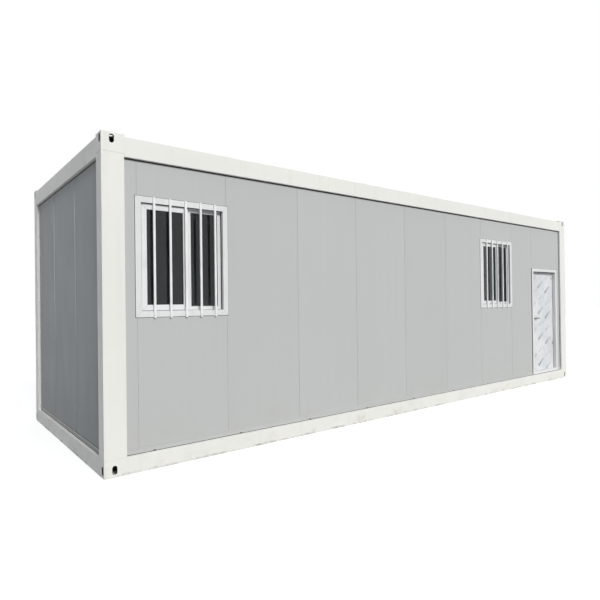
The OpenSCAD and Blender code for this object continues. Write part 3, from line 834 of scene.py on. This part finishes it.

# Foot of the walls: a dark gasket on the floor beam, painted shade of the gap under the trim, and
# on the end trims a dark strip across the middle and dark sealant on top, painted shade lines too;
# grey sealant on top of the long trims, and weep caps
WEEP_FROM_JOINT = 0.15
gasket_bm, bead_bm, end_bead_bm, weep_bm = (bmesh.new() for _ in range(4))
for lo, hi in solids("front_base_trim", "back_base_trim", "end_base_trims"):
    long_side = hi.x - lo.x > hi.y - lo.y
    axis = 1 if long_side else 0
    out = -1 if lo[axis] < 0 else 1
    p, q = lo.copy(), hi.copy()
    face = lo[axis] if out < 0 else hi[axis]
    p[axis], q[axis] = face + out * 0.6 * MM, face - out * 1.0 * MM
    q.z = lo.z + (5.5 if long_side else 8.0) * MM
    add_box(gasket_bm, p, q)
    if not long_side:
        # A dark strip across the middle of the end trims: painted shade
        middle = (lo.z + hi.z) / 2
        add_box(gasket_bm, (p.x, p.y, middle - 2 * MM), (q.x, q.y, middle + 2 * MM))
    p[axis] = q[axis] = face - out * 1.8 * MM
    p.z = q.z = hi.z + 0.8 * MM
    add_tube(bead_bm if long_side else end_bead_bm, [p, q], 1.7 * MM if long_side else 3.0 * MM)
    if long_side:
        x, z, proud = MODULE_START + WEEP_FROM_JOINT, lo.z + 2 * MM, face + out * 2.0 * MM
        while x < hi.x - 0.03:
            if x > lo.x + 0.03:
                add_box(weep_bm, (x - 13 * MM, proud, z), (x + 13 * MM, face, z + 11 * MM))
            x += MODULE
piece("base_gaskets", gasket_bm, rubber_black)
piece("base_sealant", bead_bm, sealant_grey, smooth=True)
piece("end_base_sealant", end_bead_bm, sealant_dark, smooth=True)
piece("base_weep_caps", weep_bm, rubber_black, edge=0.4 * MM)

# Bolts in the posts' sides, in front of the walls
BOLT_HEIGHTS = (0.7, 1.6, 2.48)
bm = bmesh.new()
for sx, sy in CORNERS:
    x, y = sx * (end_x - 17 * MM), sy * (end_y - 15 * MM)
    for z in BOLT_HEIGHTS:
        add_screw(bm, (x, sy * near_y, z), (0, -sy, 0), 6 * MM, 3 * MM)
        add_screw(bm, (sx * near_x, y, z), (-sx, 0, 0), 6 * MM, 3 * MM)
piece("post_bolts", bm, zinc)

# ---- Windows ----

SASH_GAP = 7 * MM
for side in ("left", "right"):
    stem = side + "_window_"
    frame_lo, frame_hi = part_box(stem + "frame")
    sash_lo, sash_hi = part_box(stem + "sash")
    flange = face_rect(stem + "frame")
    opening_x0, opening_z0 = sash_lo.x - SASH_GAP, sash_lo.z - SASH_GAP
    face_w = opening_x0 - frame_lo.x
    opening_x1, opening_z1 = frame_hi.x - face_w, sash_hi.z + SASH_GAP

    # Gaskets round the panes, outside and inside
    bm = bmesh.new()
    for lo, hi in solids(stem + "glass"):
        rect = (lo.x, hi.x, lo.z, hi.z)
        inner = grown(rect, -4.5 * MM)
        add_ring(bm, rect, inner, lo.y - 4 * MM, lo.y - 1.5 * MM, lo.y - 0.05 * MM)
        add_ring(bm, rect, inner, hi.y + 4 * MM, hi.y + 1.5 * MM, hi.y + 0.05 * MM)
    piece(stem + "gaskets", bm, rubber_black)

    # Brush seal round the sliding sash, and a dark strip in the empty channel of the other jamb,
    # painted shade of that channel
    bm = bmesh.new()
    y0, y1 = sash_lo.y + 14 * MM, sash_hi.y - 4 * MM
    side_x, foot_z, head_z = sash_lo.x - 0.4 * MM, sash_lo.z - 0.4 * MM, sash_hi.z + 0.4 * MM
    add_box(bm, (opening_x0, y0, opening_z0), (side_x, y1, opening_z1))
    add_box(bm, (side_x, y0, opening_z0), (sash_hi.x, y1, foot_z))
    add_box(bm, (side_x, y0, head_z), (sash_hi.x, y1, opening_z1))
    add_box(bm, (opening_x1 - 5 * MM, y0, opening_z0), (opening_x1, y1, opening_z1))
    piece(stem + "brush", bm, rubber_black)

    # Dark weather strip under the head, painted shade of the recess under it
    bm = bmesh.new()
    y0, y1 = frame_lo.y + 2.5 * MM, frame_lo.y + 6 * MM
    add_box(bm, (opening_x0, y0, opening_z1 - 9 * MM), (opening_x1, y1, opening_z1))
    piece(stem + "head_strip", bm, rubber_black, edge=0.8 * MM)

    # Rails that the sash runs on, and its guides in the head and the empty channel
    bm = bmesh.new()
    for y in (sash_lo.y + 4 * MM, sash_lo.y + 10 * MM):
        add_box(bm, (opening_x0, y, opening_z0), (opening_x1, y + 2 * MM, opening_z0 + 5 * MM))
        add_box(bm, (opening_x0, y, opening_z1 - 5 * MM), (opening_x1, y + 2 * MM, opening_z1))
        add_box(bm, (opening_x1 - 5 * MM, y, opening_z0), (opening_x1, y + 2 * MM, opening_z1))
    piece(stem + "rails", bm, alloy)

    # Fine lines across the corners of the frame and the sash
    bm = bmesh.new()
    for lo, hi, from_edge, reach in (
        (frame_lo, frame_hi, 2 * MM, face_w - 4 * MM),
        (sash_lo, sash_hi, 3 * MM, 46 * MM),
    ):
        for x, way_x in ((lo.x + from_edge, 1), (hi.x - from_edge, -1)):
            for z, way_z in ((lo.z + from_edge, 1), (hi.z - from_edge, -1)):
                add_mitre(bm, (x, z), (way_x, way_z), reach, lo.y)
    piece(stem + "mitres", bm, joint_shade)

    # Dark sealant between the flange and the wall, painted shade of the line round the flange
    bm = bmesh.new()
    ring_y = [wall_face + v * MM for v in (-0.2, -3.2, 0.2)]
    add_ring(bm, grown(flange, 5 * MM), flange, *ring_y)
    piece(stem + "sealant", bm, sealant_dark)

    # Latch on the inside of the sash
    bm = bmesh.new()
    x, z, y = sash_lo.x + 26 * MM, (sash_lo.z + sash_hi.z) / 2, sash_hi.y
    add_box(bm, (x - 9 * MM, y, z - 45 * MM), (x + 9 * MM, y + 4 * MM, z + 45 * MM))
    add_box(bm, (x - 6 * MM, y + 4 * MM, z - 14 * MM), (x + 6 * MM, y + 12 * MM, z + 40 * MM))
    piece(stem + "latch", bm, pvc_sash, edge=1.5 * MM)

    # A screw at the head and the foot of each bar
    bm = bmesh.new()
    for lo, hi in solids(stem + "bars"):
        x = (lo.x + hi.x) / 2
        for z in (frame_lo.z + 16 * MM, frame_hi.z - 16 * MM):
            add_screw(bm, (x, lo.y, z), (0, -1, 0), 4.5 * MM, 2.4 * MM)
    piece(side + "_bar_screws", bm, zinc)

# ---- Door ----

leaf_lo, leaf_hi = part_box("door_leaf")
plate_lo, plate_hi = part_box("door_lock_plates")
handle_lo, handle_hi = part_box("door_handle")
door_frame_lo, door_frame_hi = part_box("door_frame")
jamb_out = door_frame_hi.x - leaf_hi.x
LEAF_LAP = 10 * MM
leaf_rect = face_rect("door_leaf")
spindle = Vector(((plate_lo.x + plate_hi.x) / 2, 0.0, (handle_lo.z + handle_hi.z) / 2))
PLATE_SIDES = ((plate_lo.y, -1), (plate_hi.y, 1))

# Protective film on the outside, cut round the lock plate
x0, x1, _, z1 = grown(leaf_rect, -LEAF_LAP - 1 * MM)
film_rect = (x0, x1, leaf_lo.z - 2.5 * MM, z1)
plate_rect = grown((plate_lo.x, plate_hi.x, plate_lo.z, plate_hi.z), 3 * MM)
bm = bmesh.new()
front = leaf_lo.y - 0.5 * MM
add_ring(bm, film_rect, plate_rect, front, front, leaf_lo.y - 0.1 * MM)
piece("door_film", bm, film, body="door")

# Rubber seal on the frame's stop
bm = bmesh.new()
x0, x1, _, z1 = grown(leaf_rect, 3 * MM)
y0, y1 = leaf_lo.y - 5.8 * MM, leaf_lo.y - 1.2 * MM
width, foot = 9 * MM, leaf_lo.z - 5.5 * MM
add_box(bm, (x0, y0, foot), (x0 + width, y1, z1))
add_box(bm, (x1 - width, y0, foot), (x1, y1, z1))
add_box(bm, (x0 + width, y0, z1 - width), (x1 - width, y1, z1))
piece("door_seal", bm, rubber_black, edge=1.2 * MM)

# Weather strip under the frame's head, gasket under the frame, and seal in the recess beside it:
# dark rubber that paints the shade of these recesses and lines
STRIP = 14 * MM
bm = bmesh.new()
x0, x1, _, z1 = grown(leaf_rect, -LEAF_LAP)
y, foot = door_frame_lo.y, door_frame_lo.z
add_box(bm, (x0, y + 4 * MM, z1 - STRIP), (x1, y + 9 * MM, z1))
jamb_x0, jamb_x1 = leaf_lo.x - jamb_out, door_frame_hi.x
add_box(bm, (jamb_x0, y - 1.2 * MM, foot - 0.2 * MM), (jamb_x1, y + 1 * MM, foot + 8 * MM))
recess_y = wall_face + 15 * MM
add_box(bm, (jamb_x0 - 14 * MM, recess_y - 6 * MM, foot), (jamb_x0, recess_y, door_frame_hi.z))
piece("door_frame_seals", bm, rubber_black, edge=0.8 * MM)

# Lock cylinder in the keyhole, with a key slot at both ends
KEY_DOWN = 85 * MM
CYLINDER_R = 6.4 * MM
key_z = spindle.z - KEY_DOWN
ends = [(y + out * 2.5 * MM, out) for y, out in PLATE_SIDES]
bm = bmesh.new()
add_tube(bm, [(spindle.x, y, key_z) for y, _ in ends], CYLINDER_R, sides=24)
piece("door_lock_cylinder", bm, alloy, body="door", edge=0.6 * MM)
# Black boxes at both ends of the cylinder paint the shade of its key slots
bm = bmesh.new()
for y, out in ends:
    p = (spindle.x - 0.8 * MM, y + out * 0.15 * MM, key_z - 3.6 * MM)
    q = (spindle.x + 0.8 * MM, y - out * 0.5 * MM, key_z + 3.6 * MM)
    add_box(bm, p, q)
piece("door_key_slots", bm, rubber_black, body="door")

# Collars round the spindle: radius and share of the height along their profile
BORE_R, RIM_R, COLLAR_H = 10.6 * MM, 17 * MM, 5 * MM
COLLAR = (
    (BORE_R, 0),
    (RIM_R, 0),
    (RIM_R, 0.6),
    (RIM_R - 2 * MM, 1),
    (BORE_R + 1 * MM, 1),
    (BORE_R, 0.8),
)
bm = bmesh.new()
for y, out in PLATE_SIDES:
    rings = []
    for r, h in COLLAR:
        ring = [(spindle.x + u, y + out * h * COLLAR_H, spindle.z + v) for u, v in circle(r, 32)]
        rings.append([bm.verts.new(point) for point in ring])
    skin(bm, rings, closed=True)
piece("door_spindle_collars", bm, steel_bright, body="door", smooth=True)

# Screws of the lock plates
bm = bmesh.new()
for y, out in PLATE_SIDES:
    for z in (plate_lo.z + 12 * MM, plate_hi.z - 12 * MM):
        add_screw(bm, (spindle.x, y, z), (0, out, 0), 3.6 * MM, 1.6 * MM)
piece("door_plate_screws", bm, steel_bright, body="door")

# Countersunk screws in the hinge plates
HINGE_SCREW = ((0, 1, 0), 3.8 * MM, 1.0 * MM)
pins = sorted(solids("door_hinge_pins"), key=lambda b: b[0].z)
knuckles = sorted(solids("door_hinge_knuckles"), key=lambda b: b[0].z)
screw_y = leaf_hi.y + 3 * MM
leaf_bm, frame_bm = bmesh.new(), bmesh.new()
for (pin_lo, pin_hi), (lo, hi) in zip(pins, knuckles):
    for share in (0.25, 0.75):
        rise = share * (hi.z - lo.z)
        add_screw(leaf_bm, (lo.x + 9 * MM, screw_y, lo.z + rise), *HINGE_SCREW)
        add_screw(frame_bm, (pin_hi.x - 9 * MM, screw_y, pin_lo.z + rise), *HINGE_SCREW)
piece("door_hinge_screws_leaf", leaf_bm, steel_bright, body="door")
piece("door_hinge_screws_frame", frame_bm, steel_bright)

# Fine lines across the frame's upper corners
bm = bmesh.new()
reach = jamb_out + LEAF_LAP - 4 * MM
for x, way in ((jamb_x0 + 2 * MM, 1), (jamb_x1 - 2 * MM, -1)):
    add_mitre(bm, (x, door_frame_hi.z - 2 * MM), (way, -1), reach, door_frame_lo.y)
piece("door_frame_mitres", bm, joint_shade)

# ---- Roof ----

# Foam closers under the ends of the cambered sheet
sheet_lo, sheet_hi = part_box("roof_sheet")
LAP, CAMBER, CLOSER = 10 * MM, 20 * MM, 20 * MM
eave = sheet_lo.z + 0.3 * MM
side_y = sheet_hi.y - 40 * MM
rise = CAMBER * side_y / (sheet_hi.y - LAP)
bm = bmesh.new()
outline = [(-side_y, eave), (side_y, eave), (0.0, eave + rise)]
yz = Matrix(((0, 0, 1), (1, 0, 0), (0, 1, 0))).to_4x4()
for x in (sheet_lo.x + LAP + 2 * MM, sheet_hi.x - LAP - CLOSER - 2 * MM):
    add_prism(bm, outline, Matrix.Translation((x, 0.0, 0.0)) @ yz, CLOSER)
piece("roof_end_closers", bm, rubber_black)

# Strainers over the gutters' outlets, one at each corner
GUTTER_DEPTH, GUTTER_STEEL = 80 * MM, 4 * MM
STRAINER_R, STRAINER_H, STRAINER_RIBS = 0.034, 0.026, 10
STRAINER_ARC = (0.0, 0.5, 1.0, 1.35)  # angles from the foot to the top of a rib
STRAINER_INSET = (0.09, 0.05)
strainer_foot = roof_hi.z - GUTTER_DEPTH + GUTTER_STEEL + 0.5 * MM
bm = bmesh.new()
for sx, sy in CORNERS:
    x, y = sx * (beam_x - STRAINER_INSET[0]), sy * (end_y - STRAINER_INSET[1])
    for u, v in circle(STRAINER_R, STRAINER_RIBS):
        rib = [
            (x + u * math.cos(a), y + v * math.cos(a), strainer_foot + STRAINER_H * math.sin(a))
            for a in STRAINER_ARC
        ]
        add_tube(bm, rib, 1.2 * MM, 6)
piece("gutter_strainers", bm, zinc)

# ---- Inside trims ----

deck_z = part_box("floor_deck")[1].z
ceiling_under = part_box("ceiling_panel")[0].z
SKIRTING_H, SKIRTING_T = 60 * MM, 10 * MM
COVE = 25 * MM
skirting_bm, cove_bm = bmesh.new(), bmesh.new()
for wall, (*_, span) in WALLS.items():
    runs = [span]
    if wall == "front":
        runs = [(span[0], door_frame_lo.x - 4 * MM), (door_frame_hi.x + 4 * MM, span[1])]
    depths, heights = (thickness, thickness + SKIRTING_T), (deck_z, deck_z + SKIRTING_H)
    for run in runs:
        wall_box(skirting_bm, wall, run, depths, heights)
    depths, heights = (thickness, thickness + COVE), (ceiling_under - COVE, ceiling_under)
    wall_box(cove_bm, wall, span, depths, heights)
piece("skirting", skirting_bm, pvc, edge=2.5 * MM)
piece("ceiling_cove", cove_bm, ceiling_white, edge=6.0 * MM)

# Strips across the ceiling's joints
bm = bmesh.new()
x, y, z = MODULE_START, front_hi.y + COVE, ceiling_under
while x < right_lo.x - 0.2:
    add_box(bm, (x - 15 * MM, y, z - 3 * MM), (x + 15 * MM, -y, z))
    x += MODULE
piece("ceiling_joint_strips", bm, ceiling_white, edge=0.8 * MM)

# ---- Ground, light and camera ----

FLOOR_GREY, FLOOR_GLOW = 0.34, 0.74
SKY, AMBIENT = (0.90, 0.97, 1.09), 0.2


def seen_ray(tree):
    """1 for what the camera sees itself, in a gloss or through glass, else 0."""
    path = tree.nodes.new("ShaderNodeLightPath")
    total = path.outputs["Is Camera Ray"]
    for kind in ("Is Glossy Ray", "Is Transmission Ray"):
        either = tree.nodes.new("ShaderNodeMath")
        either.operation = "MAXIMUM"
        tree.links.new(total, either.inputs[0])
        tree.links.new(path.outputs[kind], either.inputs[1])
        total = either.outputs[0]
    return total


# A pale matte floor that the camera sees as white, with the object's shadow on it
floor_look = bpy.data.materials.new("studio_floor")
floor_look.use_nodes = True
tree = floor_look.node_tree
tree.nodes.clear()
output = tree.nodes.new("ShaderNodeOutputMaterial")
matte = tree.nodes.new("ShaderNodeBsdfDiffuse")
matte.inputs[0].default_value = (FLOOR_GREY, FLOOR_GREY, FLOOR_GREY, 1.0)
glow = tree.nodes.new("ShaderNodeEmission")
part = tree.nodes.new("ShaderNodeMath")
part.operation = "MULTIPLY"
part.inputs[1].default_value = FLOOR_GLOW
both = tree.nodes.new("ShaderNodeAddShader")
tree.links.new(seen_ray(tree), part.inputs[0])
tree.links.new(part.outputs[0], glow.inputs[1])
tree.links.new(matte.outputs[0], both.inputs[0])
tree.links.new(glow.outputs[0], both.inputs[1])
tree.links.new(both.outputs[0], output.inputs[0])

bm = bmesh.new()
bmesh.ops.create_circle(bm, cap_ends=True, radius=90.0, segments=96)
floor_mesh = bpy.data.meshes.new("studio_floor")
bm.to_mesh(floor_mesh)
bm.free()
floor = bpy.data.objects.new("studio_floor", floor_mesh)
floor.location.z = -0.5 * MM
bpy.context.scene.collection.objects.link(floor)
floor_mesh.materials.append(floor_look)

# A soft sky light, and a white background for what the camera sees
world = bpy.data.worlds.new("studio")
bpy.context.scene.world = world
world.use_nodes = True
tree = world.node_tree
tree.nodes.clear()
output = tree.nodes.new("ShaderNodeOutputWorld")
blend = tree.nodes.new("ShaderNodeMixShader")
tree.links.new(seen_ray(tree), blend.inputs[0])
for entry, (colour, strength) in enumerate(((SKY, AMBIENT), ((1.0, 1.0, 1.0), 1.0)), 1):
    backdrop = tree.nodes.new("ShaderNodeBackground")
    backdrop.inputs[0].default_value = (*colour, 1.0)
    backdrop.inputs[1].default_value = strength
    tree.links.new(backdrop.outputs[0], blend.inputs[entry])
tree.links.new(blend.outputs[0], output.inputs[0])

# The key light, a soft light on the ledges and the roof, and a weak one on the back
for name, strength, spread, colour, source in (
    ("key", 2.5, 24, (1.0, 0.985, 0.955), (-0.045, -1.0, 0.62)),
    ("top", 1.0, 60, (0.95, 0.98, 1.0), (0.0, 0.0, 1.0)),
    ("back", 1.2, 30, (1.0, 1.0, 1.0), (0.85, 1.0, 0.25)),
):
    light = bpy.data.lights.new(name, "SUN")
    light.energy = strength
    light.angle = math.radians(spread)
    light.color = colour
    sun = bpy.data.objects.new(name, light)
    sun.rotation_euler = Vector(source).to_track_quat("Z", "Y").to_euler()
    bpy.context.scene.collection.objects.link(sun)

# The camera stands where the photograph was taken
CAMERA_AT = Vector((-5.8198, -6.0318, 1.5409))
CAMERA_TURN = (38.129, 0.348, -0.717)  # yaw from the Y axis, pitch and roll, in degrees
yaw, pitch, roll = (math.radians(angle) for angle in CAMERA_TURN)
flat = math.cos(pitch)
ahead = Vector((math.sin(yaw) * flat, math.cos(yaw) * flat, math.sin(pitch)))
level = Vector((math.cos(yaw), -math.sin(yaw), 0.0))
above = level.cross(ahead)
right = level * math.cos(roll) + above * math.sin(roll)
up = above * math.cos(roll) - level * math.sin(roll)
camera_data = bpy.data.cameras.new("camera")
camera_data.sensor_width = 36.0
camera_data.lens = 29.778
camera = bpy.data.objects.new("camera", camera_data)
bpy.context.scene.collection.objects.link(camera)
turn = Matrix((right, up, -ahead)).transposed().to_4x4()
camera.matrix_world = Matrix.Translation(CAMERA_AT) @ turn
bpy.context.scene.camera = camera
bpy.context.scene.view_settings.view_transform = "Standard"
